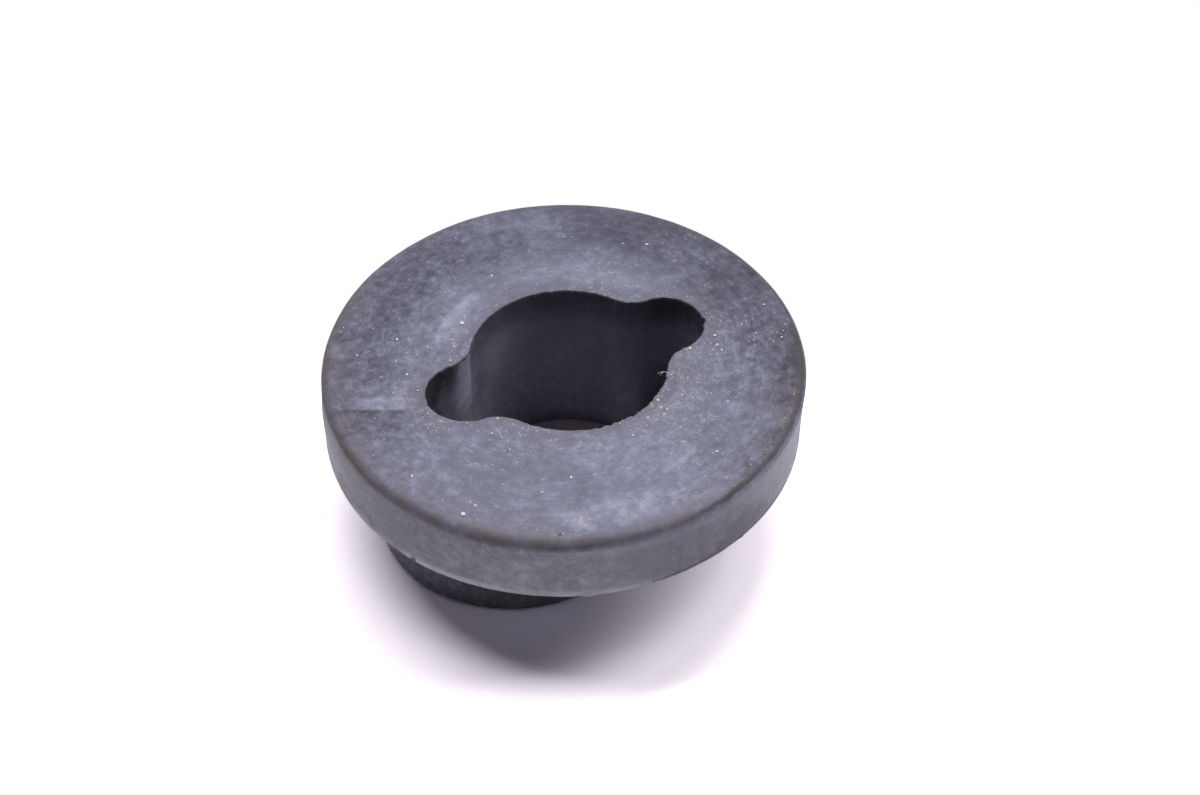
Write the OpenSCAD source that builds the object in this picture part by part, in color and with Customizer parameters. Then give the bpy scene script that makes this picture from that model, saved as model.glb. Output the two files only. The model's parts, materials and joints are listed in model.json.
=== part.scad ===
// Rubber damper: a round flange on an obround neck, with a keyed hole through both.
// One moulding, in millimetres. It stands on the neck's end face at z = 0, with +Z up.
// The two ears of the hole and the long axis of the neck lie along X.

/* [Flange] */
// Diameter of the round flange
flange_d = 40; // [37:0.5:60]
// Thickness of the flange
flange_t = 6.3; // [3:0.1:12]
// Rounding of the flange's upper outer edge
rim_r = 0.8; // [0.2:0.1:2]

/* [Neck] */
// Width of the neck, over its two flat flanks
neck_w = 23.4; // [20:0.1:30]
// Length of the neck, over its two round ends
neck_l = 33.2; // [31:0.1:35]
// Drop of the neck below the flange
neck_drop = 9.7; // [5:0.1:20]
// Fillet where the neck runs into the flange
root_r = 1; // [0.2:0.1:1.5]
// Rounding of the neck's lower outer edge
foot_r = 0.5; // [0.2:0.1:1.5]

/* [Keyed hole] */
// Diameter of the hole's round middle
bore_d = 16.4; // [12:0.1:18]
// Span of the two ears, from tip to tip
ear_span = 24.8; // [22:0.1:28]
// Width of each ear
ear_w = 6.4; // [3:0.1:8]
// Rounding of the shoulders between the middle and the ears
shoulder_r = 3; // [0.5:0.1:4]

/* [Hidden] */
$fn = 128;

// How far a cut runs past the face that it opens
cut_past = 1;
// Bluish grey bloom on black rubber
rubber_grey = [0.47, 0.47, 0.54];

height = neck_drop + flange_t;
flange_r = flange_d / 2;
neck_r = neck_w / 2;
neck_half = neck_l / 2 - neck_r;
bore_r = bore_d / 2;
ear_r = ear_w / 2;
ear_x = ear_span / 2 - ear_r;

// A shoulder is an arc that touches the round middle and the ear from outside.
// It meets the ear on its straight side, or on its round tip where that side is too short.
bore_arm = bore_r + shoulder_r;
ear_arm = ear_r + shoulder_r;
side_x = sqrt(bore_arm ^ 2 - ear_arm ^ 2);
tip_x = (side_x ^ 2 + ear_x ^ 2) / (2 * ear_x);
shoulder_x = side_x < ear_x ? side_x : tip_x;
shoulder_y = sqrt(bore_arm ^ 2 - shoulder_x ^ 2);

// Half section of the flange: a plate with a rounded upper corner
module flange_section() {
  square([flange_r, flange_t - rim_r]);
  square([flange_r - rim_r, flange_t]);
  translate([flange_r - rim_r, flange_t - rim_r])
    circle(rim_r);
}

// Half section of the neck: rounded at the foot, filleted where it meets the flange
module neck_section() {
  translate([0, foot_r])
    square([neck_r, neck_drop - foot_r]);
  square([neck_r - foot_r, neck_drop]);
  translate([neck_r - foot_r, foot_r])
    circle(foot_r);
  translate([neck_r, neck_drop - root_r])
    difference() {
      square(root_r);
      translate([root_r, 0])
        circle(root_r);
    }
}

// Plan of one shoulder: the web between the middle and the ear, less the arc
module shoulder_plan() {
  difference() {
    polygon([[0, 0], [min(side_x, ear_x), 0], [shoulder_x, shoulder_y]]);
    translate([shoulder_x, shoulder_y])
      circle(shoulder_r);
  }
}

// Plan of one ear with its two shoulders, pointing along +X
module ear_plan() {
  translate([0, -ear_r])
    square([ear_x, ear_w]);
  translate([ear_x, 0])
    circle(ear_r);
  shoulder_plan();
  mirror([0, 1])
    shoulder_plan();
}

// Plan of the keyed hole: a round middle with an ear on each side
module hole_plan() {
  circle(bore_r);
  ear_plan();
  mirror([1, 0])
    ear_plan();
}

module flange() {
  translate([0, 0, neck_drop])
    rotate_extrude()
      flange_section();
}

// Two half turns of the section, with a straight run of it between them
module neck() {
  for (end = [0, 1])
    rotate([0, 0, end * 180])
      translate([neck_half, 0, 0])
        rotate([0, 0, -90])
          rotate_extrude(angle = 180)
            neck_section();
  rotate([90, 0, 90])
    linear_extrude(2 * neck_half, center = true) {
      neck_section();
      mirror([1, 0])
        neck_section();
    }
}

module damper() {
  color(rubber_grey)
    difference() {
      union() {
        flange();
        neck();
      }
      translate([0, 0, -cut_past])
        linear_extrude(height + 2 * cut_past)
          hole_plan();
    }
}

damper();
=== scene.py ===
# %% [markdown]
# # A rubber damper
# The damper is one moulding of soft black rubber: a round flange on an obround neck, with a keyed hole
# through both. Years of use have left a bluish grey bloom on it, scuffs, a dirty rim and dust. The packed
# CAD solid is loaded first, as the fixed frame that the main sizes below are taken from.

# %% Load the frame
import json
import math
import random

import bmesh
import bpy
from mathutils import Matrix, Vector, noise


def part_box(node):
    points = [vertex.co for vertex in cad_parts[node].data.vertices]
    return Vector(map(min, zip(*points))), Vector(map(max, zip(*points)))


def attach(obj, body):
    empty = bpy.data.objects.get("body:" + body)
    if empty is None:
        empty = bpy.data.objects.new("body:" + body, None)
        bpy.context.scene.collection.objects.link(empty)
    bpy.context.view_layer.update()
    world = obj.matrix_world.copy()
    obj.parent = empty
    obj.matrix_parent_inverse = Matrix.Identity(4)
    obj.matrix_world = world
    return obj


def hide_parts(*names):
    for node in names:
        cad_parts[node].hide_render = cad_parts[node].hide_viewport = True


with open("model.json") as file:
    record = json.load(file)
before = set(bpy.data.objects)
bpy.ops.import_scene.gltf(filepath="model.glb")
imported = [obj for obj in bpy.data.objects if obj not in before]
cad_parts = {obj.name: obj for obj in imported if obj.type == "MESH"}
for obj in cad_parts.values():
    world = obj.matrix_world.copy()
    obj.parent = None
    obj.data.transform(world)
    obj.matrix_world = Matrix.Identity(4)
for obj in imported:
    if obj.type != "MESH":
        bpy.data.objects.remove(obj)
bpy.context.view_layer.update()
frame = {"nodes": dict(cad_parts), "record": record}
print("CAD nodes:", list(frame["nodes"]))

# %% [markdown]
# ## Sizes
# A mould maker would start from the drawing. Here the frame gives the outer box, the height of the
# flange's seat and the radius of the bore, so those aren't written a second time. The sizes that the
# frame doesn't name are written once, in millimetres, as they are on the drawing.

# %% Sizes of the moulding
MM = 0.001
mounts = {mount["name"]: mount for mount in frame["record"]["mounts"]}
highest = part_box("damper")[1]
flange_r = highest[0]
height = highest[2]
neck_drop = mounts["flange_seat"]["pos_m"][2]
bore_r = mounts["bore_grip"]["dims"]["r_mm"] * MM

neck_w = 23.4 * MM
neck_l = 33.2 * MM
ear_span = 24.8 * MM
ear_w = 6.4 * MM
shoulder_r = 3.0 * MM
rim_r = 0.8 * MM
root_r = 1.0 * MM
foot_r = 0.5 * MM
print("flange radius %.1f mm, height %.1f mm" % (flange_r / MM, height / MM))

# %% [markdown]
# ## Axes of the picture
# Scuffs, stains and grains of dust are placed by the picture, so three more axes are handy: to the right,
# ahead and up as the camera sees them. The camera looks along Y, turned by some 27 degrees about the
# vertical.

# %% Axes of the picture
VIEW_TURN = math.radians(-26.57)
RIGHT = Vector((math.cos(VIEW_TURN), math.sin(VIEW_TURN), 0))
AHEAD = Vector((-math.sin(VIEW_TURN), math.cos(VIEW_TURN), 0))
UP = Vector((0, 0, 1))


def on_top(right, ahead, above):
    """A place over the flange's top, in millimetres along the axes of the picture."""
    return (RIGHT * right + AHEAD * ahead + UP * above) * MM + UP * height


print("the camera looks along", [round(part, 3) for part in AHEAD])

# %% [markdown]
# ## Three outlines
# Seen from above the damper has three outlines: the keyed hole, the obround neck and the round flange.
# All three can be seen whole from the middle, so each is written as a reach: how far the outline lies
# from the middle in a given direction. The keyed hole is three arcs in each quarter: the round tip of an
# ear, the shoulder and the bore. On this damper the hole came out of the mould a little askew: its near
# side is pulled to the right by a little over half a millimetre, while its far side is where it should
# be.

# %% Reach of each outline
neck_r = neck_w / 2
neck_half = neck_l / 2 - neck_r
ear_r = ear_w / 2
ear_x = ear_span / 2 - ear_r

# The shoulder's arc touches the bore and the tip of the ear from outside.
bore_arm = bore_r + shoulder_r
ear_arm = ear_r + shoulder_r
shoulder_x = (bore_arm ** 2 - ear_arm ** 2 + ear_x ** 2) / (2 * ear_x)
shoulder_y = math.sqrt(bore_arm ** 2 - shoulder_x ** 2)
shoulder_turn = math.atan2(shoulder_y, shoulder_x)
touch_x = ear_x + (shoulder_x - ear_x) * ear_r / ear_arm
touch_y = shoulder_y * ear_r / ear_arm
touch_turn = math.atan2(touch_y, touch_x)


def first_quarter(angle):
    """The like direction in the first quarter, because every outline is the same in all four."""
    return math.atan2(abs(math.sin(angle)), abs(math.cos(angle)))


def far_side(middle, radius, turn):
    """Reach to the far side of a circle whose middle lies a distance away, a turn off the direction."""
    return middle * math.cos(turn) + math.sqrt(max(radius ** 2 - (middle * math.sin(turn)) ** 2, 0.0))


def near_side(middle, radius, turn):
    """Reach to the near side of such a circle."""
    return middle * math.cos(turn) - math.sqrt(max(radius ** 2 - (middle * math.sin(turn)) ** 2, 0.0))


def hole_reach(angle):
    turn = first_quarter(angle)
    if turn >= shoulder_turn:
        return bore_r
    if turn >= touch_turn:
        return near_side(bore_arm, shoulder_r, turn - shoulder_turn)
    return far_side(ear_x, ear_r, turn)


def neck_reach(angle):
    turn = first_quarter(angle)
    if turn > math.atan2(neck_r, neck_half):
        return neck_r / math.sin(turn)
    return far_side(neck_half, neck_r, turn)


def flange_reach(angle):
    return flange_r


print("ear tip at %.2f mm" % (hole_reach(0) / MM), "neck end at %.2f mm" % (neck_reach(0) / MM))

# %% Amounts that change round the part
COLUMNS = 720
ANGLES = [2 * math.pi * column / COLUMNS for column in range(COLUMNS)]


def window(angle, middle, half, soft):
    """1 within half a width of a direction, in degrees from the X axis, falling smoothly to 0 over the soft
    part."""
    away = abs((math.degrees(angle) - middle + 180) % 360 - 180)
    share = min(max((half + soft - away) / soft, 0.0), 1.0)
    return share * share * (3 - 2 * share)


def keyed(angle, *keys):
    """A value that changes round the part. Each key is a direction in degrees from the camera's right, from
    -180 to 180, and the value there."""
    seen = (math.degrees(angle - VIEW_TURN) + 180) % 360 - 180
    for (start, low), (stop, high) in zip(keys, keys[1:]):
        if seen <= stop:
            return low + (high - low) * (seen - start) / (stop - start)


print("columns:", COLUMNS)

# %% Three outlines
HOLE_PULL = 0.32 * MM
# How much less the ear on the left is pulled to the right, and how much it is pulled ahead
LEFT_EAR_SHARE = 0.6


def pulled(angle, pull):
    """How far a point of an outline is pulled to the right: twice the pull at the near side and not at all
    at the far. The ear on the left is pulled less to the right, and a little ahead."""
    left_ear = window(angle, 176, 12, 22)
    near = 1 - math.sin(angle - VIEW_TURN)
    to_right = RIGHT * near * (1 - LEFT_EAR_SHARE * left_ear)
    return (to_right + AHEAD * LEFT_EAR_SHARE * left_ear) * pull


def outline(reach, pull=0.0):
    """One point per column, each with the direction that leads straight out of the outline there."""
    points = [
        Vector((math.cos(angle), math.sin(angle), 0)) * reach(angle) + pulled(angle, pull)
        for angle in ANGLES
    ]
    pairs = []
    for column, point in enumerate(points):
        along = points[(column + 1) % COLUMNS] - points[column - 1]
        pairs.append((point, Vector((along.y, -along.x, 0)).normalized()))
    return pairs


HOLE = outline(hole_reach, HOLE_PULL)
NECK = outline(neck_reach)
FLANGE = outline(flange_reach)
print("near side of the hole pulled by %.2f mm" % (2 * HOLE_PULL / MM))

# %% [markdown]
# ## Wear on the edges
# Moulded rubber is never as crisp as its drawing. The hole's upper edge is a little torn, the rim is
# rubbed, and a thin flash from the mould's parting line is left along the flange's lower edge. Each of
# these is an amount that changes round the part, so each is worked out once per column from smooth noise.
# The plain noise of mathutils gives the same value on every run.

# %% Wear of the hole's edge and the rim, one amount per column
NOISE_SEED = Vector((3.1, 7.7, 1.9))


def round_noise(angle, reach, size, layer):
    """Smooth noise from -1 to 1 round a circle, with bumps of about the given size."""
    place = Vector((math.cos(angle), math.sin(angle), 0)) * (reach / size)
    return noise.noise(place + NOISE_SEED * layer)


def lip_wear(angle):
    """Rounding of the hole's upper edge."""
    return (0.11 + 0.04 * round_noise(angle, hole_reach(angle), 2.5 * MM, 3)) * MM


def nick_depth(angle):
    """How far small tears set the hole's upper edge back, or pull it in. They are worst along one side, and
    a notch is left at the tip of one ear."""
    reach = hole_reach(angle)
    torn = 0.35 + 0.65 * window(angle, -72, 22, 20)
    ragged = round_noise(angle, reach, 0.5 * MM, 1) + 0.9 * round_noise(angle, reach, 0.2 * MM, 2)
    notch = window(angle, -5, 0.5, 1.5)
    return (0.17 * torn * ragged + 0.16 * notch) * MM


def rim_wear(angle):
    """Rounding of the flange's upper edge, rubbed more in some places than in others."""
    slow = round_noise(angle, flange_r, 5 * MM, 6)
    quick = round_noise(angle, flange_r, MM, 7)
    return rim_r * (1 + 0.06 * slow + 0.03 * quick)


LIP = [lip_wear(angle) for angle in ANGLES]
NICK = [nick_depth(angle) for angle in ANGLES]
RIM = [rim_wear(angle) for angle in ANGLES]
print("nicks up to %.2f mm deep" % (max(NICK) / MM))

# %% Flash along the flange's lower edge, one amount per column
def flash_nick(angle):
    """1 where a bit of the flash is torn out."""
    return window(angle, -151.9, 0.3, 0.6)


def flash_width(angle):
    """Width of the flash: widest on one side, with a nick and a few torn bits."""
    wide = window(angle, -142, 8, 8)
    tail = window(angle, -122, 20, 14)
    lead = window(angle, -163, 9, 5)
    ragged = (0.85 + 0.4 * round_noise(angle, flange_r, 1.4 * MM, 4)) * (1 - flash_nick(angle))
    large_bits = window(angle, -110.5, 0.5, 0.8) + window(angle, -96.7, 0.3, 0.6)
    bits = large_bits + 0.4 * window(angle, -71.0, 0.4, 0.8)
    rest = 0.012 + 0.012 * max(round_noise(angle, flange_r, 1.5 * MM, 5), 0.0)
    return (rest + (0.05 * wide + 0.04 * tail + 0.03 * lead) * ragged + 0.10 * bits) * MM


def flash_rise(angle):
    """Height of the flash, which is a bead on the side where it is widest."""
    ragged = 1 + 0.6 * round_noise(angle, flange_r, 0.7 * MM, 9)
    return (0.12 + (0.10 * window(angle, -141, 7, 10) + 0.13 * window(angle, -122, 20, 14)) * ragged) * MM


FLASH = [flash_width(angle) for angle in ANGLES]
FLASH_RISE = [flash_rise(angle) for angle in ANGLES]
print("flash up to %.2f mm wide" % (max(FLASH) / MM), "and %.2f mm high" % (max(FLASH_RISE) / MM))

# %% [markdown]
# ## Rings
# The section of the damper changes all the way round, because the hole, the neck and the flange have
# different outlines. A spin or a lathe can't give that. So the surface is made as a closed train of
# rings: up the wall of the hole, out over the top, down the side, in under the flange, down the neck and
# back to the hole. Every ring has one point per column, set off from one of the outlines or part of the
# way between two.

# %% Ring helpers
def columns_of(value):
    """A size as one number per column, whether it is the same all round or not."""
    return value if isinstance(value, list) else [value] * COLUMNS


def ring(outline_pairs, grow, level):
    """A ring set off from an outline by an amount, at a level."""
    grows = columns_of(grow)
    levels = columns_of(level)
    return [
        point + out * grows[column] + Vector((0, 0, levels[column]))
        for column, (point, out) in enumerate(outline_pairs)
    ]


def rounded(outline_pairs, radius, hub_grow, corner_level, hub_rise, start, stop, steps, setback=0.0):
    """Rings along a rounded edge. The hub lies some radii out of and above the corner, and the sweep is in
    degrees. A setback moves the whole edge away from the outline."""
    radii = columns_of(radius)
    setbacks = columns_of(setback)
    rings = []
    for step in range(steps + 1):
        turn = math.radians(start + (stop - start) * step / steps)
        grow = [back + r * (hub_grow + math.cos(turn)) for back, r in zip(setbacks, radii)]
        level = [corner_level + r * (hub_rise + math.sin(turn)) for r in radii]
        rings.append(ring(outline_pairs, grow, level))
    return rings


def spread(steps):
    """Even shares between 0 and 1, without the two ends."""
    return [step / steps for step in range(1, steps)]


def eased(steps):
    """Shares between 0 and 1 that lie closer together at both ends."""
    return [0.5 - 0.5 * math.cos(math.pi * share) for share in spread(steps)]


def between(first, last, shares):
    """Rings part of the way from one ring to another."""
    return [[a.lerp(b, share) for a, b in zip(first, last)] for share in shares]


# %% Train of rings
FOOT_LIP = 0.25 * MM
NICK_DROP = 0.8 * MM
FLASH_ROOT = 0.2 * MM
# The section of the flash from the side down: shares of its width and of its height
FLASH_SECTION = ((0.0, 1.0), (0.3, 0.8), (0.6, 0.6), (0.85, 0.4), (1.0, 0.2), (1.0, 0.04), (0.6, -0.02))

hole_edge = rounded(HOLE, LIP, 1, height, -1, 180, 90, 5, NICK)
hole_neck = ring(HOLE, 0, height - NICK_DROP)
rim_edge = rounded(FLANGE, RIM, -1, height, -1, 90, 0, 8)
flash_edge = [
    ring(FLANGE, [out * wide for wide in FLASH], [neck_drop + up * rise for rise in FLASH_RISE])
    for out, up in FLASH_SECTION
]
flash_edge.append(ring(FLANGE, -FLASH_ROOT, neck_drop))
root_edge = rounded(NECK, root_r, 1, neck_drop, -1, 90, 180, 6)
foot_edge = rounded(NECK, foot_r, -1, 0, 1, 0, -90, 4)
hole_foot = rounded(HOLE, FOOT_LIP, 1, 0, 1, 270, 180, 3)

train = []
for zone, rings in (
    ("hole", between(hole_foot[-1], hole_neck, spread(20))),
    ("hole", [hole_neck] + between(hole_neck, hole_edge[0], spread(3))),
    ("lip", hole_edge),
    ("top", between(hole_edge[-1], rim_edge[0], eased(36))),
    ("rim", rim_edge),
    ("side", between(rim_edge[-1], flash_edge[0], spread(14) + [0.955, 0.985])),
    ("flash", flash_edge),
    ("under", between(flash_edge[-1], root_edge[0], spread(6))),
    ("root", root_edge),
    ("neck", between(root_edge[-1], foot_edge[0], spread(9))),
    ("foot", foot_edge),
    ("end", between(foot_edge[-1], hole_foot[0], spread(5))),
    ("foot_lip", hole_foot),
):
    train += [(zone, one) for one in rings]
print("rings:", len(train), "faces:", len(train) * COLUMNS)

# %% [markdown]
# ## The moulding
# A circle of edges is the first ring. Each step extrudes that loop of edges and moves the new points to
# the next ring, and the last loop is bridged to the first, so the skin closes without a seam. A column
# number that rides on every point tells which point of a ring it is, because an extrusion hands its
# points back in no fixed order.

# %% Extrude the rings
skin = bmesh.new()
column_of = skin.verts.layers.int.new("column")
ring_of = skin.verts.layers.int.new("ring")
loop = bmesh.ops.create_circle(skin, segments=COLUMNS, radius=bore_r)["verts"]
for column, vert in enumerate(loop):
    vert[column_of] = column
edges = list(skin.edges)


def settle(verts, number):
    """Moves the points of the newest loop to their ring."""
    points = train[number][1]
    for vert in verts:
        vert[ring_of] = number
        vert.co = points[vert[column_of]]


settle(loop, 0)
for number in range(1, len(train)):
    grown = bmesh.ops.extrude_edge_only(skin, edges=edges)["geom"]
    edges = [part for part in grown if isinstance(part, bmesh.types.BMEdge) and part.is_boundary]
    settle([part for part in grown if isinstance(part, bmesh.types.BMVert)], number)
open_loops = [edge for edge in skin.edges if edge.is_boundary]
bmesh.ops.bridge_loops(skin, edges=open_loops)
bmesh.ops.recalc_face_normals(skin, faces=skin.faces)
print("skin:", len(skin.verts), "points,", len(skin.faces), "faces")
print("volume: %.0f mm3" % (skin.calc_volume() / MM ** 3))

# %% [markdown]
# ## What the finish needs to know
# The bloom is rubbed off the rim, and a dark line runs along it, part dirt and part painted shade of its
# rounding. Dust gathers along the hole's edge, and the inside of the hole is darker, in part as painted
# shade. The material can't tell those places from coordinates alone, so each point carries a few numbers
# from 0 to about 1 that say where on the moulding it is. They become attributes of the mesh. Some of them
# change round the part, and those amounts come first, one per column.

# %% Marks of the hole, one amount per column
HOLE_REACH = [point.length for point, out in HOLE]
# Painted shade: the ears are darker, and so is a stretch of the bore's wall, where little light gets in.
EAR_SHADE = [max(window(angle, 180, 14.5, 5), 0.42 * window(angle, 0, 15, 8)) for angle in ANGLES]
SHADED = [max(window(angle, 138, 5, 22), 0.3 * window(angle, 33, 10, 8)) for angle in ANGLES]
DUST_REACH = [(1.8 + 1.0 * window(angle, -45, 32, 15)) * MM for angle in ANGLES]
DUSTY = [
    max(
        0.2,
        window(angle, -45, 32, 15),
        window(angle, 150, 9, 8),
        0.7 * window(angle, 182, 8, 8),
        0.9 * window(angle, -143, 6, 8),
        0.8 * window(angle, 38, 12, 12),
    )
    for angle in ANGLES
]
print("dust fades out over up to %.1f mm from the hole" % (max(DUST_REACH) / MM))

# %% Marks of the rim and of the flange's lower edge, one amount per column
# The rim's dark line is dirt, and painted shade of the rim's rounding.
def rim_place(angle):
    """Where the rim's dark line, dirt and painted shade, runs along the section, from the start of the rim's
    rounding.
    """
    front = (-180, 0.9), (-100, 1.32), (-80, 0.76), (-60, 0.80), (-40, 0.56), (-20, 0.46)
    place = keyed(angle, *front, (150, 0.6), (180, 0.9))
    return (place + 0.10 * round_noise(angle, flange_r, 0.5 * MM, 8)) * MM


def rim_below(angle):
    """How far the rim's dark line runs out down the side."""
    front = (-150, 1.2), (-125, 0.45), (-105, 2.0), (-95, 2.0), (-80, 0.20), (-40, 0.19), (-20, 0.14)
    return keyed(angle, (-180, 2.2), *front, (150, 0.3), (180, 2.2)) * MM


def rim_share(angle):
    """How strong the rim's dark line is: fainter at the back and in front, stronger at the front right."""
    fainter = max(0.75 * window(angle, 75, 35, 30), 0.52 * window(angle, -120, 34, 15))
    return 1 - fainter + 0.3 * window(angle, -62, 14, 14)


RIM_PLACE = [rim_place(angle) for angle in ANGLES]
RIM_BELOW = [rim_below(angle) for angle in ANGLES]
RIM_SHARE = [rim_share(angle) for angle in ANGLES]
FRINGE = [0.25 + 0.75 * max(window(angle, -165, 50, 30), window(angle, -62, 22, 25)) for angle in ANGLES]
# Painted shade: a thin dark line along the flange's lower edge at the front right. It is darker too where
# the flash is torn out.
EDGE_SHADE_AND_NICK = [max(window(angle, -62, 22, 18), flash_nick(angle)) for angle in ANGLES]
print("the dirty line runs out over up to %.1f mm" % (max(RIM_BELOW) / MM))

# %% Attributes for the finish
ZONES = [zone for zone, points in train]
MARK_NAMES = (
    "top", "flat", "rim", "fringe", "lip", "dusty", "inside",
    "ear", "shoulder", "shaded", "flash", "edge_shade_and_nick", "lower", "grain",
)
marks = {name: skin.verts.layers.float.new(name) for name in MARK_NAMES}

# How far marks fade out: the rim's dark line above its middle, the fringe in from the rim, dirt round the
# hole
RIM_ABOVE = 0.34 * MM
FRINGE_REACH = 1.2 * MM
LIP_REACH = 1.1 * MM
# The flash is pale where it is wide, and the side just above it is painted nearly as pale. Both are partly
# pale flash and partly a painted highlight, where the lower edge catches light from the bright paper.
THIN_FLASH = 0.025 * MM
FULL_FLASH = 0.055 * MM
EDGE_HIGHLIGHT_SHARE = 0.9
EDGE_HIGHLIGHT_RISE = 0.45 * MM
# How far the painted shade along the lower edge reaches up.
EDGE_SHADE_RISE = 0.22 * MM
# The paler strip on one shoulder inside the hole is a painted highlight, where that wall faces the lamp on
# the
# right. In degrees: its direction at the top, how much further round it lies for each millimetre down, half
# its width and its soft edge
STRIP_AT = 152
STRIP_SLANT = 0.6
STRIP_HALF = 3
STRIP_SOFT = 5


def mark(vert, name, value):
    vert[marks[name]] = value


def along_section(zone, rim_gap, drop, rounding):
    """How far a point lies along the section from the start of the rim's rounding, below 0 on the top."""
    if zone == "rim":
        return rounding * math.acos(min(max(1 - drop / rounding, 0.0), 1.0))
    if zone == "top":
        return rounding - rim_gap
    return rounding * (math.pi / 2 - 1) + drop


for vert in skin.verts:
    zone = ZONES[vert[ring_of]]
    column = vert[column_of]
    in_hole = zone in ("hole", "foot_lip")
    round_hole = zone in ("lip", "top")
    at_foot = zone in ("side", "flash")
    mark(vert, "top", zone in ("lip", "top", "rim"))
    mark(vert, "flat", zone == "top")
    mark(vert, "inside", in_hole)
    mark(vert, "lower", zone in ("under", "root", "neck", "foot", "end"))

    rim_gap = flange_r - vert.co.xy.length
    drop = height - vert.co.z
    past_line = along_section(zone, rim_gap, drop, RIM[column]) - RIM_PLACE[column]
    line_width = RIM_ABOVE if past_line < 0 else RIM_BELOW[column]
    rim_dirt_and_shade = RIM_SHARE[column] * math.exp(-(past_line / line_width) ** 2)
    mark(vert, "rim", rim_dirt_and_shade if zone in ("top", "rim", "side") else 0.0)
    below_line = math.exp(-(max(past_line, 0.0) / line_width) ** 2)
    grimy = FRINGE[column] * math.exp(-rim_gap / FRINGE_REACH) * below_line
    mark(vert, "fringe", grimy if zone in ("top", "rim") else 0.0)

    hole_gap = max(vert.co.xy.length - HOLE_REACH[column], 0.0)
    mark(vert, "lip", math.exp(-hole_gap / LIP_REACH) if round_hole else 0.0)
    powdered = DUSTY[column] * math.exp(-hole_gap / DUST_REACH[column])
    mark(vert, "dusty", powdered if round_hole else 0.0)
    mark(vert, "ear", EAR_SHADE[column] if in_hole else 0.0)
    strip = window(ANGLES[column], STRIP_AT + STRIP_SLANT * drop / MM, STRIP_HALF, STRIP_SOFT)
    mark(vert, "shoulder", strip if zone == "hole" else 0.0)
    mark(vert, "shaded", SHADED[column] if zone == "hole" else 0.0)

    foot_gap = vert.co.z - neck_drop
    wide = min(max((FLASH[column] - THIN_FLASH) / (FULL_FLASH - THIN_FLASH), 0.0), 1.0)
    pale = wide * (1 - EDGE_SHADE_AND_NICK[column])
    edge_highlight = EDGE_HIGHLIGHT_SHARE * math.exp(-(foot_gap / EDGE_HIGHLIGHT_RISE) ** 2) if zone == "side" else 1.0
    mark(vert, "flash", pale * edge_highlight if at_foot else 0.0)
    edge_shade = EDGE_SHADE_AND_NICK[column] * math.exp(-(foot_gap / EDGE_SHADE_RISE) ** 2)
    mark(vert, "edge_shade_and_nick", edge_shade if at_foot else 0.0)

print("attributes:", ", ".join(marks))

# %% [markdown]
# ## A little out of true
# Soft rubber never comes out of the mould quite straight. Slow waves run over the whole skin, and
# everything below the rim leans to the left: by a quarter of a millimetre on that side, and by less on
# the other.

# %% Bend the skin
LEAN_DEPTH = 3.0 * MM
LEAN_KEYS = (-180, 0.26), (-110, 0.22), (-50, 0.09), (0, 0.17), (180, 0.26)
LEAN = [keyed(angle, *LEAN_KEYS) * MM for angle in ANGLES]


def unevenness(place):
    """Slow waves that keep moulded rubber from looking machined."""
    slow = noise.noise(place / (7 * MM) + NOISE_SEED)
    quick = noise.noise(place / (1.6 * MM) - NOISE_SEED)
    standing = min(place.z / MM, 1.0)
    return (0.030 * slow + 0.008 * quick) * standing * MM


skin.normal_update()
for vert in skin.verts:
    zone = ZONES[vert[ring_of]]
    share = min((height - vert.co.z) / LEAN_DEPTH, 1.0)
    vert.co += vert.normal * unevenness(vert.co)
    if zone not in ("hole", "lip", "foot_lip"):
        vert.co -= RIGHT * (LEAN[vert[column_of]] * share)
print("leans by up to %.2f mm" % (max(LEAN) / MM))

# %% [markdown]
# ## Grains and a whisker
# A few grains of pale grit lie on the flange, large enough to throw a shadow, and a torn whisker of
# rubber stands out over the hole. Paint can't give a shadow, so they are small solids in the same mesh:
# squashed spheres with uneven points for the grains, and two tapering threads for the whisker. A mark
# tells the finish to leave them pale.

# %% Add the grains
# Each grain's place to the right and ahead of the middle, and its size, in millimetres
GRAINS = (
    (-8.66, 4.10, 0.42), (-13.98, 2.17, 0.26), (-17.14, 0.27, 0.20), (-11.72, -13.17, 0.34),
    (-7.56, -17.08, 0.42), (0.66, -13.28, 0.26), (-1.56, -14.84, 0.24), (5.54, -8.80, 0.26),
    (7.60, -4.92, 0.34), (12.13, -10.52, 0.28), (7.02, 14.11, 0.30), (12.51, 2.65, 0.26),
    (16.81, 6.43, 0.22), (18.08, 2.41, 0.24), (10.37, 1.09, 0.34), (-12.87, -1.95, 0.22),
    (-11.85, -3.79, 0.24), (-9.42, -0.30, 0.22), (-5.68, -8.60, 0.24), (8.30, -5.90, 0.22),
)
GRAIN_BUMPS = 0.25 * MM
# Shares of a grain's size: how high its middle lies over the top, and how uneven it is
GRAIN_LIFT = 0.12
GRAIN_UNEVEN = 0.12
draws = random.Random(5)


def add_grain(right, ahead, size):
    """A squashed, uneven grain of a size in millimetres, sunk a little into the top. Each axis has plain
    noise of its own, because the vector noise of mathutils differs from run to run."""
    squash = Matrix.Diagonal((1.0, draws.uniform(0.6, 1.0), 0.4, 1.0))
    turn = Matrix.Rotation(draws.uniform(0, math.pi), 4, "Z")
    place = Matrix.Translation(on_top(right, ahead, GRAIN_LIFT * size))
    shape = place @ turn @ squash
    made = bmesh.ops.create_icosphere(skin, subdivisions=2, radius=size * MM / 2, matrix=shape)
    for vert in made["verts"]:
        bump = [noise.noise(vert.co / GRAIN_BUMPS + NOISE_SEED * layer) for layer in (1, 2, 3)]
        vert.co += Vector(bump) * (GRAIN_UNEVEN * size * MM)
        mark(vert, "grain", 1.0)


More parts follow.
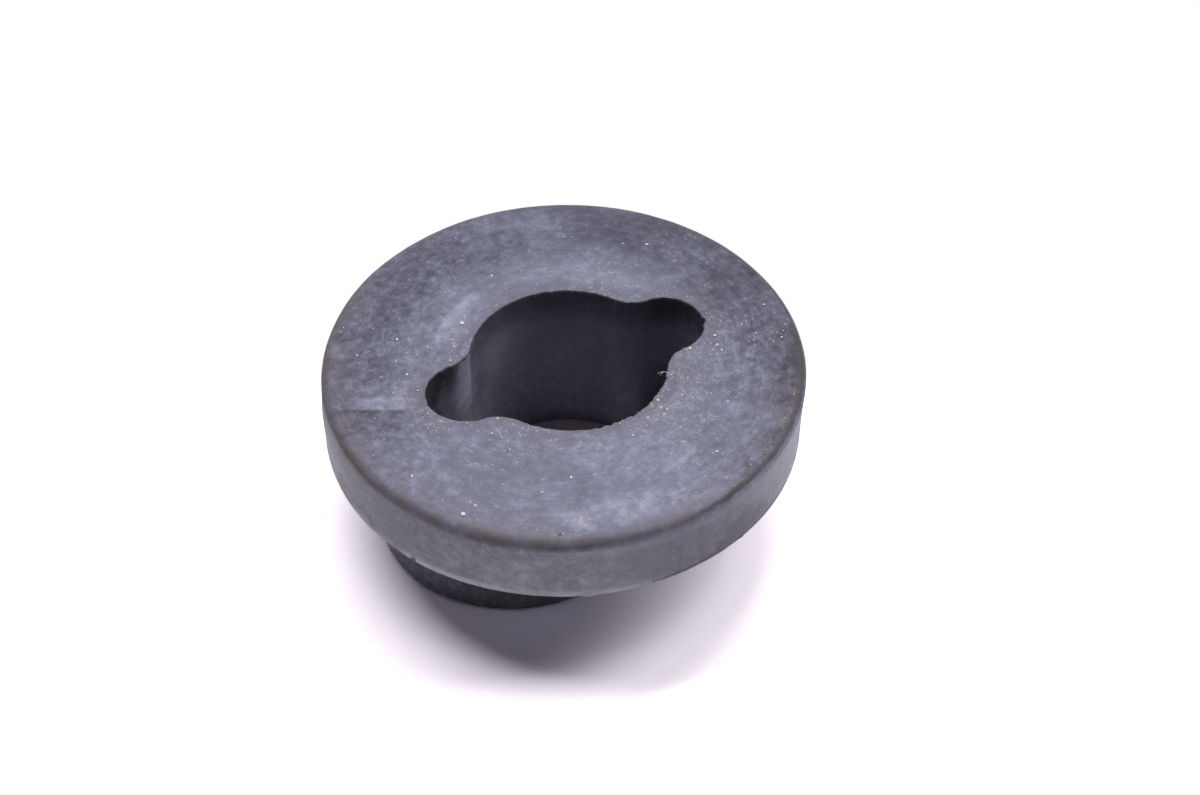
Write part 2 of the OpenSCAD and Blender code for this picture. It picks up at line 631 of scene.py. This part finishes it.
for right, ahead, size in GRAINS:
    add_grain(right, ahead, size)
print("grains:", len(GRAINS))

# %% Add the whisker
WHISKER = (
    on_top(8.62, -1.80, -0.02),
    on_top(8.30, -1.72, 0.08),
    on_top(8.00, -1.75, 0.12),
    on_top(7.62, -1.88, 0.06),
)
PRONG = (
    on_top(8.10, -1.74, 0.11),
    on_top(7.95, -1.88, 0.06),
    on_top(7.84, -2.04, 0.00),
)
WHISKER_R = 0.036 * MM
PRONG_R = 0.026 * MM
THREAD_SIDES = 6
TAPER = 0.8


def add_thread(points, first_r):
    """A thin thread along some points, each ring of it smaller than the one before."""
    facing = (points[-1] - points[0]).to_track_quat("Z", "Y").to_matrix().to_4x4()
    start = Matrix.Translation(points[0]) @ facing
    made = bmesh.ops.create_circle(skin, segments=THREAD_SIDES, radius=first_r, matrix=start)["verts"]
    edges = [edge for edge in skin.edges if edge.is_wire]
    for before, after in zip(points, points[1:]):
        grown = bmesh.ops.extrude_edge_only(skin, edges=edges)["geom"]
        edges = [part for part in grown if isinstance(part, bmesh.types.BMEdge) and part.is_boundary]
        verts = [part for part in grown if isinstance(part, bmesh.types.BMVert)]
        bmesh.ops.translate(skin, verts=verts, vec=after - before)
        bmesh.ops.scale(skin, verts=verts, vec=(TAPER, TAPER, TAPER), space=Matrix.Translation(-after))
        made += verts
    open_ends = [edge for edge in skin.edges if edge.is_boundary]
    bmesh.ops.holes_fill(skin, edges=open_ends, sides=THREAD_SIDES)
    for vert in made:
        mark(vert, "grain", 0.8)


add_thread(WHISKER, WHISKER_R)
add_thread(PRONG, PRONG_R)
bmesh.ops.recalc_face_normals(skin, faces=skin.faces)
print("skin with grains and whisker:", len(skin.verts), "points")

# %% [markdown]
# ## One piece
# The bmesh now becomes a mesh object at the origin, with its place in its points. It rides on the frame's
# only body and takes the place of the plain CAD solid, which stays hidden.

# %% Make the damper
def make_piece(name, mesh_data):
    """Turns a bmesh into a smooth-shaded object."""
    mesh = bpy.data.meshes.new(name)
    mesh_data.to_mesh(mesh)
    mesh_data.free()
    mesh.shade_smooth()
    piece = bpy.data.objects.new(name, mesh)
    bpy.context.scene.collection.objects.link(piece)
    return piece


damper = make_piece("damper_skin", skin)
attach(damper, "root")
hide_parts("damper")
print("damper box:", [round(side / MM, 2) for side in damper.dimensions])

# %% [markdown]
# ## Rubber
# The rubber is black inside, and what shows is mostly bloom: a bluish grey haze that comes out of old
# rubber. So the colour is a mix of two, black rubber and bloom, and all the clouds, streaks, wipes and
# scuffs only change how much bloom covers the rubber. Dirt and dust go on top of that. A few short
# helpers keep the node code readable.

# %% Node helpers
def linear_part(part):
    """One part of a colour on a screen, from 0 to 1, made linear."""
    return part / 12.92 if part <= 0.04045 else ((part + 0.055) / 1.055) ** 2.4


def linear(red, green, blue):
    """A colour as it is picked on a screen, from 0 to 255, as the linear colour that a shader takes."""
    return tuple(linear_part(part / 255) for part in (red, green, blue)) + (1.0,)


class Nodes:
    """Adds nodes to one material or world, with plain numbers or other nodes' outputs as inputs."""

    def __init__(self, tree):
        self.tree = tree
        tree.nodes.clear()

    def add(self, kind, **settings):
        node = self.tree.nodes.new(kind)
        for name, value in settings.items():
            setattr(node, name, value)
        return node

    def feed(self, node, socket, value):
        if isinstance(value, bpy.types.NodeSocket):
            self.tree.links.new(value, node.inputs[socket])
        else:
            node.inputs[socket].default_value = value

    def math(self, operation, first, second=0.0):
        node = self.add("ShaderNodeMath", operation=operation)
        self.feed(node, 0, first)
        self.feed(node, 1, second)
        return node.outputs[0]

    def vector(self, operation, first, second=None):
        """A step of vector arithmetic, on one or two vectors."""
        node = self.add("ShaderNodeVectorMath", operation=operation)
        self.feed(node, 0, first)
        if second is not None:
            self.feed(node, 1, second)
        return node.outputs["Value" if operation in ("LENGTH", "DOT_PRODUCT") else "Vector"]

    def rise(self, value, start, stop, low=0.0, high=1.0):
        """Goes smoothly from low to high as a value goes from start to stop."""
        node = self.add("ShaderNodeMapRange", interpolation_type="SMOOTHSTEP")
        for socket, number in enumerate((value, start, stop, low, high)):
            self.feed(node, socket, number)
        return node.outputs[0]

    def band(self, value, start, stop, soft):
        """1 between two values, with soft ends."""
        opening = self.rise(value, start - soft, start + soft)
        closing = self.rise(value, stop - soft, stop + soft, 1.0, 0.0)
        return self.math("MULTIPLY", opening, closing)

    def noise(self, vector, size, detail, roughness):
        node = self.add("ShaderNodeTexNoise")
        self.feed(node, "Vector", vector)
        self.feed(node, "Scale", 1 / size)
        self.feed(node, "Detail", detail)
        self.feed(node, "Roughness", roughness)
        return node.outputs[0]

    def mix(self, share, first, second, clamp=True):
        node = self.add("ShaderNodeMix", data_type="RGBA", clamp_factor=clamp)
        self.feed(node, 0, share)
        self.feed(node, 6, first)
        self.feed(node, 7, second)
        return node.outputs[2]

    def attribute(self, name):
        return self.add("ShaderNodeAttribute", attribute_name=name).outputs["Fac"]

    def sum(self, *values):
        total = values[0]
        for value in values[1:]:
            total = self.math("ADD", total, value)
        return total

    def swing(self, value, middle, amount):
        """A noise value from 0 to 1 as a swing to either side of nothing."""
        return self.math("MULTIPLY", self.math("SUBTRACT", value, middle), amount)


# %% Coordinates on the damper
rubber = bpy.data.materials.new("aged_rubber")
rubber.use_nodes = True
net = Nodes(rubber.node_tree)
place = net.add("ShaderNodeTexCoord").outputs["Object"]
turned = net.add("ShaderNodeMapping")
net.feed(turned, "Vector", place)
net.feed(turned, "Rotation", (0.0, 0.0, -VIEW_TURN))
split = net.add("ShaderNodeSeparateXYZ")
net.feed(split, 0, turned.outputs[0])
across, ahead, up = split.outputs
flat = net.vector("MULTIPLY", turned.outputs[0], (1.0, 1.0, 0.0))
radius = net.vector("LENGTH", flat)
direction = net.math("ARCTAN2", ahead, across)
print("nodes for the coordinates:", len(net.tree.nodes))

# %% Streaks that run round the hole
outward = net.vector("NORMALIZE", flat)


def brushed(width, turns, detail):
    """Noise drawn out round the hole: the width of a streak, and how many follow each other in a radian."""
    wound = net.add("ShaderNodeVectorMath", operation="SCALE")
    net.feed(wound, 0, outward)
    net.feed(wound, "Scale", turns)
    lift = net.add("ShaderNodeCombineXYZ")
    net.feed(lift, "Z", net.math("DIVIDE", radius, width))
    lifted = net.vector("ADD", wound.outputs[0], lift.outputs[0])
    return net.noise(lifted, 1.0, detail, 0.7)


streaks = brushed(0.9 * MM, 2.2, 5.0)
wisps = brushed(0.28 * MM, 9.0, 3.0)
print("nodes with the streaks:", len(net.tree.nodes))

# %% Places on the moulding
top = net.attribute("top")
flat_top = net.attribute("flat")
rim = net.attribute("rim")
fringe = net.attribute("fringe")
lip = net.attribute("lip")
inside = net.attribute("inside")
ear = net.attribute("ear")
shoulder = net.attribute("shoulder")
shaded = net.attribute("shaded")
dusty = net.attribute("dusty")
flash = net.attribute("flash")
edge_shade_and_nick = net.attribute("edge_shade_and_nick")
lower = net.attribute("lower")
side = net.math("SUBTRACT", 1.0, net.math("MAXIMUM", net.math("MAXIMUM", top, inside), lower))
print("nodes with the places:", len(net.tree.nodes))

# %% Clouds, blotches and grit
clouds = net.noise(place, 8.0 * MM, 5.0, 0.75)
blotches = net.noise(place, 1.4 * MM, 4.0, 0.6)
mottle = net.noise(place, 0.9 * MM, 4.0, 0.8)
grit = net.noise(place, 0.4 * MM, 4.0, 0.75)
worn = net.noise(place, 3.0 * MM, 5.0, 0.7)
print("nodes with the noise:", len(net.tree.nodes))

# %% [markdown]
# ## Wipes and scuffs
# Handling has smeared the bloom thicker in some places and wiped it thinner in others. On the top such a
# wipe is either straight or runs round the hole. So there are two shapes to place, a box and an arc, both
# with soft edges. A strength above 0 adds bloom, and one below 0 takes it away. Blotchy noise keeps them
# from looking drawn with a ruler.

# %% Shapes of wipes
DEGREE = math.radians(1)
PATCH_EDGE = 0.15 * MM


def scaled(strength, *shares):
    """The product of some shares, times a strength."""
    product = strength
    for share in shares:
        product = net.math("MULTIPLY", share, product)
    return product


def patch(left, right, near, far, soft, strength):
    """A wiped patch on the top, as a box along the axes of the picture, in millimetres."""
    wide = net.band(across, left * MM, right * MM, soft * MM)
    deep = net.band(ahead, near * MM, far * MM, PATCH_EDGE)
    return scaled(strength, wide, deep, top)


def step(value, place_and_soft, measure):
    """A step from 0 to 1 at a place, as soft as is said, both in the given measure."""
    middle, soft = place_and_soft
    return net.rise(value, (middle - soft) * measure, (middle + soft) * measure)


def arc(inner, outer, start, stop, strength):
    """A wiped arc round the hole. Each end is a place and how soft it is: in millimetres from the middle for
    the first two, and in degrees from the camera's right for the others."""
    outside = net.math("SUBTRACT", 1.0, step(radius, outer, MM))
    beyond = net.math("SUBTRACT", 1.0, step(direction, stop, DEGREE))
    return scaled(strength, step(radius, inner, MM), outside, step(direction, start, DEGREE), beyond, top)


def facing(start, stop, soft):
    """1 between two directions, in degrees from the camera's right, with soft ends."""
    return net.band(direction, start * DEGREE, stop * DEGREE, soft * DEGREE)


# %% Wipes on the top
wipes = net.sum(
    patch(-17.0, -12.7, -5.95, -4.6, 0.7, 0.28),
    patch(-16.4, -12.2, -5.95, -3.4, 0.9, 0.10),
    patch(-18.2, -12.4, -9.1, -6.05, 0.9, -0.15),
    patch(-18.0, -13.0, -6.16, -6.00, 0.8, -0.12),
    patch(-16.4, -12.6, -9.25, -9.10, 0.8, -0.26),
    arc((9.0, 0.9), (11.2, 0.15), (134, 2), (168, 6), 0.20),
    arc((10.5, 0.3), (11.2, 0.12), (134, 2), (164, 8), 0.12),
    arc((9.5, 0.6), (11.5, 0.8), (55, 10), (112, 10), 0.14),
    arc((11.0, 2.5), (17.0, 2.5), (-75, 25), (-40, 20), 0.16),
    arc((12.0, 1.5), (20.0, 1.5), (0, 15), (60, 15), -0.04),
    arc((14.5, 1.5), (19.3, 0.6), (90, 3), (128, 14), 0.12),
    arc((15.5, 1.2), (18.9, 0.5), (-93, 6), (-54, 8), 0.18),
    arc((16.3, 0.8), (18.7, 0.5), (-91, 4), (-68, 6), 0.24),
    arc((15.8, 1.0), (18.2, 0.6), (-30, 6), (2, 8), -0.14),
    arc((17.8, 0.7), (19.8, 0.15), (-46, 6), (5, 10), -0.24),
    arc((18.9, 0.4), (19.8, 0.15), (-46, 6), (5, 10), -0.14),
    arc((18.7, 0.4), (19.8, 0.15), (-30, 5), (5, 10), -0.13),
    arc((15.0, 1.5), (20.6, 0.6), (-200, 10), (-142, 8), -0.13),
)
wipes = net.math("MULTIPLY", wipes, net.rise(blotches, 0.35, 0.6, 0.5, 1.4))
# The back of the top is darker.
rear_rubbed = scaled(-0.35, net.rise(ahead, -10 * MM, 7 * MM), net.rise(radius, 11 * MM, 16 * MM), top)
print("nodes with the wipes:", len(net.tree.nodes))

# %% [markdown]
# ## Bloom
# The cover is how much of the black rubber the bloom hides. It starts from one level all over. Noise of
# several sizes makes it uneven, more on the flange than in the hole and on the neck, and then each place
# gets its share: less on the neck, and the back of the top is darker. The cover carries painted light and
# shade as well: the front and the right end of the flange's side are paler, for light from the camera's side
# and a highlight from the lamp on the right; the wall of the hole is paler towards the top and on the strip
# of one shoulder; the ears, a stretch of the bore's wall and a line along the flange's lower edge at the
# front right are darker, as painted shade. Where the bloom lies thick the cover goes past 1, which makes it
# paler still.

# %% Unevenness of the bloom
streaky = net.rise(net.noise(place, 6.0 * MM, 2.0, 0.5), 0.4, 0.65, 0.3, 1.0)
more_left = net.rise(across, -12 * MM, -5 * MM, 0.45, 0.0)
more_right = net.rise(across, 5 * MM, 12 * MM, 0.0, 0.2)
outer_sides = net.sum(0.8, more_left, more_right)
sides = net.math("MULTIPLY", outer_sides, net.rise(ahead, 2 * MM, 9 * MM, 1.0, 0.8))
smooth = net.sum(1.0, scaled(-0.4, inside), scaled(-0.45, lower))
rough_front = net.rise(facing(-145, -80, 15), 0.0, 1.0, 0.35, 0.9)
rough = net.sum(scaled(1.0, sides, net.math("SUBTRACT", 1.0, side)), scaled(1.0, side, rough_front))
pale_pricks = net.rise(net.noise(place, 0.17 * MM, 2.0, 0.6), 0.60, 0.78)
uneven = net.sum(
    scaled(1.0, net.swing(clouds, 0.5, 1.3), net.rise(across, -12 * MM, 2 * MM, 0.3, 1.0)),
    scaled(1.0, net.swing(mottle, 0.5, 1.8), rough),
    scaled(1.0, net.swing(mottle, 0.5, 0.8), side, rough),
    scaled(1.0, net.swing(blotches, 0.5, 0.65), rough),
    scaled(1.0, net.swing(blotches, 0.5, 0.9), side, rough),
    scaled(1.0, net.swing(wisps, 0.5, 0.65), flat_top, net.rise(across, 5 * MM, 12 * MM, 1.0, 1.2)),
    scaled(1.0, net.swing(streaks, 0.5, 0.8), top, streaky),
    scaled(0.22, pale_pricks, rough),
)
# Thin places are only about half as strong as thick ones.
uneven = net.math("MAXIMUM", uneven, scaled(0.55, uneven))
print("nodes with the unevenness:", len(net.tree.nodes))

# %% How much bloom covers the rubber
below_edge = net.band(up, 14.3 * MM, 15.55 * MM, 0.3 * MM)
under_rim = net.math("MULTIPLY", below_edge, net.rise(radius, 18 * MM, 19 * MM))
lower_half = net.rise(up, 10.5 * MM, 13.5 * MM, 1.0, 0.0)
paler_wall = net.math("MAXIMUM", shaded, shoulder)
cover = net.sum(
    0.63,
    scaled(1.0, uneven, smooth),
    wipes,
    rear_rubbed,
    scaled(-0.20, side),
    # Painted light: the front of the side is paler, for light from the camera's side.
    scaled(0.32, side, facing(-120, -75, 20)),
    scaled(-0.32, side, facing(-66, -40, 10)),
    # Painted highlight: the right end of the side is paler, from the lamp on the right.
    scaled(0.25, side, facing(-20, 20, 10)),
    scaled(0.24, facing(-88, -30, 8), under_rim),
    scaled(-0.22, side, facing(-52, -25, 8), lower_half),
    scaled(-0.34, side, facing(-165, -138, 8), lower_half),
    # Painted shade along the lower edge at the front right, and the torn-out bit of flash.
    scaled(-0.65, edge_shade_and_nick),
    scaled(-0.22, inside),
    # Painted light: the wall of the hole is paler higher up, where light comes in at the top.
    scaled(0.42, inside, net.rise(up, 2 * MM, 12 * MM)),
    scaled(-0.52, inside, net.rise(up, 12.0 * MM, 15.2 * MM), net.rise(paler_wall, 0.0, 1.0, 1.0, 0.3)),
    # Painted shade on a stretch of the bore's wall and in the ears.
    scaled(-0.42, shaded, net.rise(up, 5 * MM, 10 * MM)),
    scaled(-0.66, ear),
    # Painted highlight: the strip on one shoulder is paler, where that wall faces the lamp on the right.
    scaled(1.0, shoulder, net.rise(up, 9 * MM, 13 * MM, 0.2, 1.1), net.rise(mottle, 0.35, 0.65, 0.6, 1.25)),
    scaled(-0.40, lower),
    scaled(-0.08, lip),
)
squiggles = net.math("ABSOLUTE", net.swing(net.noise(place, 1.3 * MM, 2.0, 0.6), 0.5, 1.0))
squiggles = scaled(1.0, net.rise(squiggles, 0.01, 0.07, 1.0, 0.0), net.rise(worn, 0.47, 0.57))
cover = net.sum(cover, scaled(1.0, squiggles, patch(-10.5, -3.0, 10.0, 15.0, 1.0, -0.18)))
cover = net.math("MINIMUM", net.math("MAXIMUM", cover, 0.02), 1.5)
print("nodes with the bloom:", len(net.tree.nodes))

# %% [markdown]
# ## Colours
# Each colour is written as it would be picked on a screen, and made linear for the shader. The bloom is
# mixed over the bare rubber first. Dirt round the hole, the rim's dark line of dirt and painted shade, the
# pale flash with its painted highlight and a few stains go over it, each where its mark or its place says.

# %% Bloom, dirt and flash
BLACK_RUBBER = linear(40, 37, 46)
BARE_TOP = linear(34, 35, 56)
TOP_BLOOM = linear(153, 153, 178)
# The side's bloom is paler than the top's: partly its own tone, partly painted light from the camera's side.
SIDE_BLOOM_AND_LIGHT = linear(188, 188, 207)
HOLE_BLOOM = linear(156, 153, 175)
# The rim's dark line: dirt, and painted shade of the rim's rounding.
RIM_DIRT_AND_SHADE = linear(60, 53, 55)
FRINGE_DIRT = linear(114, 102, 103)
HOLE_DIRT = linear(114, 107, 110)
# Near white: partly pale flash, partly painted highlight.
FLASH_PALE_AND_HIGHLIGHT = linear(240, 241, 255)

bloom = net.mix(inside, net.mix(top, SIDE_BLOOM_AND_LIGHT, TOP_BLOOM), HOLE_BLOOM)
bare = net.mix(net.math("MAXIMUM", top, side), BLACK_RUBBER, BARE_TOP)
colour = net.mix(cover, bare, bloom, clamp=False)
dirty_lip = scaled(0.75, lip, net.rise(blotches, 0.3, 0.6), net.rise(grit, 0.3, 0.6, 0.5, 1.0))
colour = net.mix(dirty_lip, colour, HOLE_DIRT)
colour = net.mix(scaled(0.9, fringe, net.rise(worn, 0.3, 0.6)), colour, FRINGE_DIRT)
# Dirt and painted shade along the rim.
ragged_rim = net.rise(net.sum(rim, net.swing(grit, 0.5, 1.3), net.swing(worn, 0.5, 0.6)), 0.25, 0.95)
colour = net.mix(scaled(0.66, ragged_rim, net.rise(rim, 0.05, 0.3)), colour, RIM_DIRT_AND_SHADE)
# The flash and the band above it: pale flash and a painted highlight.
colour = net.mix(scaled(1.0, flash, net.rise(grit, 0.3, 0.5, 0.7, 1.0)), colour, FLASH_PALE_AND_HIGHLIGHT)
print("nodes with the dirt:", len(net.tree.nodes))

# %% Stains
TAN = linear(206, 185, 180)
BROWN = linear(152, 132, 133)
PALE_SPOT = linear(192, 188, 188)


def stain(right, near, half_wide, half_deep, strength):
    """A small soft stain on the top: its middle and its half sizes along the axes of the picture, in
    millimetres."""
    away = net.vector("SUBTRACT", flat, (right * MM, near * MM, 0.0))
    shaped = net.vector("DIVIDE", away, (half_wide * MM, half_deep * MM, 1.0))
    return scaled(strength, net.rise(net.vector("LENGTH", shaped), 0.3, 1.0, 1.0, 0.0), top)


colour = net.mix(stain(1.48, -17.70, 0.24, 0.70, 0.65), colour, TAN)
colour = net.mix(stain(2.15, -17.50, 0.22, 0.22, 0.45), colour, PALE_SPOT)
colour = net.mix(stain(2.53, -12.96, 0.26, 0.26, 0.45), colour, TAN)
colour = net.mix(stain(0.27, -19.40, 0.60, 0.42, 0.45), colour, BROWN)
colour = net.mix(stain(-0.11, -19.10, 0.16, 0.18, 0.8), colour, BLACK_RUBBER)
print("nodes with the stains:", len(net.tree.nodes))

# %% [markdown]
# ## Dust
# Dust is too fine to be modelled, so it is painted as dots: a flat Voronoi pattern splits the top into
# cells, and some of the cells hold a dot. More of them do along the hole's edge, in drifts and near the
# rim. A fine pattern gives the powder, and a coarser one gives the single specks.

# %% Dust
DUST = linear(226, 223, 220)
GRAIN_PALE = linear(242, 239, 237)

drifts = net.rise(net.noise(place, 5.0 * MM, 4.0, 0.75), 0.52, 0.68)
drifts = net.math("MULTIPLY", drifts, net.rise(ahead, 0 * MM, 9 * MM, 1.0, 0.35))
heaps = net.rise(net.noise(place, 1.8 * MM, 3.0, 0.7), 0.38, 0.62)


def dusty_cells(anywhere, by_hole, in_drifts, by_rim):
    """The share of the cells that hold a dot, and how much the hole, the drifts and the rim add to it."""
    share = net.sum(anywhere, scaled(by_hole, dusty), scaled(in_drifts, drifts), scaled(by_rim, fringe))
    return scaled(1.0, flat_top, heaps, share)


def specks(size, share_kept, reach, faintest):
    """Dots in some of the cells of a flat Voronoi pattern: the cells' size, how many have one, how large the
    dots are in cells, and how strong the faintest is."""
    cells = net.add("ShaderNodeTexVoronoi", voronoi_dimensions="2D")
    net.feed(cells, "Vector", place)
    net.feed(cells, "Scale", 1 / size)
    chance = net.add("ShaderNodeSeparateColor")
    net.feed(chance, 0, cells.outputs["Color"])
    chosen = net.math("LESS_THAN", chance.outputs[0], share_kept)
    wide = net.math("MULTIPLY", net.math("ADD", chance.outputs[1], 0.4), reach)
    dot = net.rise(net.math("DIVIDE", cells.outputs["Distance"], wide), 0.5, 1.0, 1.0, 0.0)
    bright = net.rise(net.math("POWER", chance.outputs[2], 2.0), 0.0, 1.0, faintest, 1.0)
    return scaled(1.0, chosen, dot, bright)


powder = scaled(0.55, specks(0.20 * MM, dusty_cells(0.02, 1.8, 0.22, 0.08), 0.42, 0.1))
single_specks = scaled(0.9, specks(0.6 * MM, dusty_cells(0.006, 0.9, 0.07, 0.02), 0.20, 0.1))
dust = net.math("MAXIMUM", powder, single_specks)
colour = net.mix(dust, colour, DUST)
colour = net.mix(net.attribute("grain"), colour, GRAIN_PALE)
print("nodes with the dust:", len(net.tree.nodes))

# %% Rubber shader
roughness = net.math("MAXIMUM", net.rise(cover, 0.2, 0.9, 0.50, 0.68), scaled(0.9, inside))
shader = net.add("ShaderNodeBsdfPrincipled")
net.feed(shader, "Base Color", colour)
net.feed(shader, "Roughness", roughness)
net.feed(shader, "Specular IOR Level", 0.35)
bump = net.add("ShaderNodeBump")
net.feed(bump, "Strength", 0.35)
net.feed(bump, "Distance", 0.05 * MM)
net.feed(bump, "Height", net.sum(mottle, blotches, net.math("MULTIPLY", dust, 1.5)))
net.feed(shader, "Normal", bump.outputs[0])
surface = net.add("ShaderNodeOutputMaterial")
net.feed(surface, 0, shader.outputs[0])
damper.data.materials.append(rubber)
print("rubber nodes:", len(net.tree.nodes))

# %% [markdown]
# ## Floor
# The damper stands on white paper. Under it the paper is lit less, and that shadow has a faint lavender
# tint. The floor is a diffuse sheet whose colour is above white for rays that come from the camera or a
# reflection, so that the open paper is plain white while the shadow keeps its depth. Further out, and
# behind the damper, where no shadow falls, those rays see a plain white sheet instead, and the damper's
# outline stays smooth against it.

# %% Paper floor
FLOOR_HALF = 1.5

sheet = bmesh.new()
bmesh.ops.create_grid(sheet, x_segments=1, y_segments=1, size=FLOOR_HALF)
floor = make_piece("paper_floor", sheet)
paper = bpy.data.materials.new("white_paper")
paper.use_nodes = True
floor.data.materials.append(paper)
print("floor: %.1f m square" % (2 * FLOOR_HALF))

# %% Where the paper is plain white
net = Nodes(paper.node_tree)
on_floor = net.add("ShaderNodeTexCoord").outputs["Object"]
# The neck's foot covers an oval, and inside it only the paper under the hole shows, which is in deep shade.
# That paper is painted darker as well, as painted shade: for rays from the camera it keeps close to its own
# colour instead of the raised white.
FOOT_OVAL = 0.47 * neck_w
squeezed = net.vector("MULTIPLY", on_floor, (neck_w / neck_l, 1.0, 0.0))
open_paper = net.math("GREATER_THAN", net.vector("LENGTH", squeezed), FOOT_OVAL)
from_middle = net.vector("LENGTH", on_floor)
behind = net.rise(net.vector("DOT_PRODUCT", on_floor, AHEAD), 3 * MM, 8 * MM)
behind = net.math("MULTIPLY", behind, net.rise(from_middle, 24 * MM, 27 * MM))
unshaded = net.math("MAXIMUM", behind, net.rise(from_middle, 45 * MM, 60 * MM))
print("nodes for the places on the paper:", len(net.tree.nodes))

# %% Paper
PAPER = (0.78, 0.78, 0.78, 1.0)
PAPER_SEEN = (2.76, 2.55, 2.76, 1.0)
PAPER_SHADED_IN_HOLE = (0.98, 0.84, 0.82, 1.0)


def seen_directly(net):
    """1 for rays from the camera, from reflections and through clear things, 0 for light that bounces."""
    path = net.add("ShaderNodeLightPath").outputs
    seen = net.math("MAXIMUM", path["Is Camera Ray"], path["Is Glossy Ray"])
    return net.math("MAXIMUM", seen, path["Is Transmission Ray"])


seen = seen_directly(net)
matt = net.add("ShaderNodeBsdfDiffuse")
net.feed(matt, "Color", net.mix(seen, PAPER, net.mix(open_paper, PAPER_SHADED_IN_HOLE, PAPER_SEEN)))
white = net.add("ShaderNodeEmission")
both = net.add("ShaderNodeMixShader")
net.feed(both, 0, net.math("MULTIPLY", seen, unshaded))
net.feed(both, 1, matt.outputs[0])
net.feed(both, 2, white.outputs[0])
surface = net.add("ShaderNodeOutputMaterial")
net.feed(surface, 0, both.outputs[0])
print("paper nodes:", len(net.tree.nodes))

# %% [markdown]
# ## Light
# A long soft lamp hangs over the damper, across the view and a little behind, and a smaller one stands to
# the right. Nothing but a little stray light comes from the camera's side. That is what the shadow tells:
# it ends close in front of the flange, is soft at both sides, and the paper inside the hole stays dark.
# Together they light the top so that a colour renders about as it is written.

# %% Lamps
LAMP_AWAY = 0.5


def softbox(name, turn, tilt, width, depth, level):
    """A soft lamp that faces the damper: its direction in degrees from the camera's right, its height in
    degrees, its two sides, and how brightly it lights a level white surface, where 1 is white."""
    turn = math.radians(turn)
    tilt = math.radians(tilt)
    towards = (RIGHT * math.cos(turn) + AHEAD * math.sin(turn)) * math.cos(tilt) + UP * math.sin(tilt)
    data = bpy.data.lights.new(name, "AREA")
    data.shape = "RECTANGLE"
    data.size = width
    data.size_y = depth
    data.energy = level * (math.pi * LAMP_AWAY) ** 2 / math.sin(tilt)
    lamp = bpy.data.objects.new(name, data)
    lamp.location = towards * LAMP_AWAY
    lamp.rotation_euler = towards.to_track_quat("Z", "Y").to_euler()
    bpy.context.scene.collection.objects.link(lamp)
    print(name, "%.2f W" % data.energy)


softbox("long_softbox", 111, 75.3, 0.49, 0.09, 0.70)
softbox("right_softbox", 18, 47.5, 0.18, 0.32, 0.26)

# %% Surroundings
STRAY_LIGHT = 0.006

world = bpy.data.worlds.new("white_surroundings")
world.use_nodes = True
bpy.context.scene.world = world
net = Nodes(world.node_tree)
glow = net.add("ShaderNodeBackground")
net.feed(glow, "Color", (1.0, 1.0, 1.0, 1.0))
net.feed(glow, "Strength", net.rise(seen_directly(net), 0.0, 1.0, STRAY_LIGHT, 1.0))
surface = net.add("ShaderNodeOutputWorld")
net.feed(surface, 0, glow.outputs[0])
bpy.context.scene.view_settings.view_transform = "Standard"
print("world nodes:", len(net.tree.nodes))

# %% [markdown]
# ## Camera
# The camera stands about eight flange radii away and looks down at 46 degrees, with the ears turned from
# the view. Its axis meets the flange's top a little to the right of and in front of the middle, which
# puts the damper where it is in the picture without any lens shift.

# %% Camera
CAMERA_TILT = math.radians(45.67)
CAMERA_AWAY = 160.84 * MM
AIM_RIGHT = 2.92 * MM
AIM_AHEAD = -4.57 * MM

camera_data = bpy.data.cameras.new("camera")
camera_data.sensor_width = 36.0
camera_data.lens = 59.66
camera_data.clip_start = 0.01
camera = bpy.data.objects.new("camera", camera_data)
aim = RIGHT * AIM_RIGHT + AHEAD * AIM_AHEAD + UP * height
back = AHEAD * (CAMERA_AWAY * math.cos(CAMERA_TILT))
above = UP * (CAMERA_AWAY * math.sin(CAMERA_TILT))
camera.location = aim - back + above
camera.rotation_euler = (math.pi / 2 - CAMERA_TILT, 0, VIEW_TURN)
bpy.context.scene.collection.objects.link(camera)
bpy.context.scene.camera = camera
print("camera at", [round(part / MM, 1) for part in camera.location])
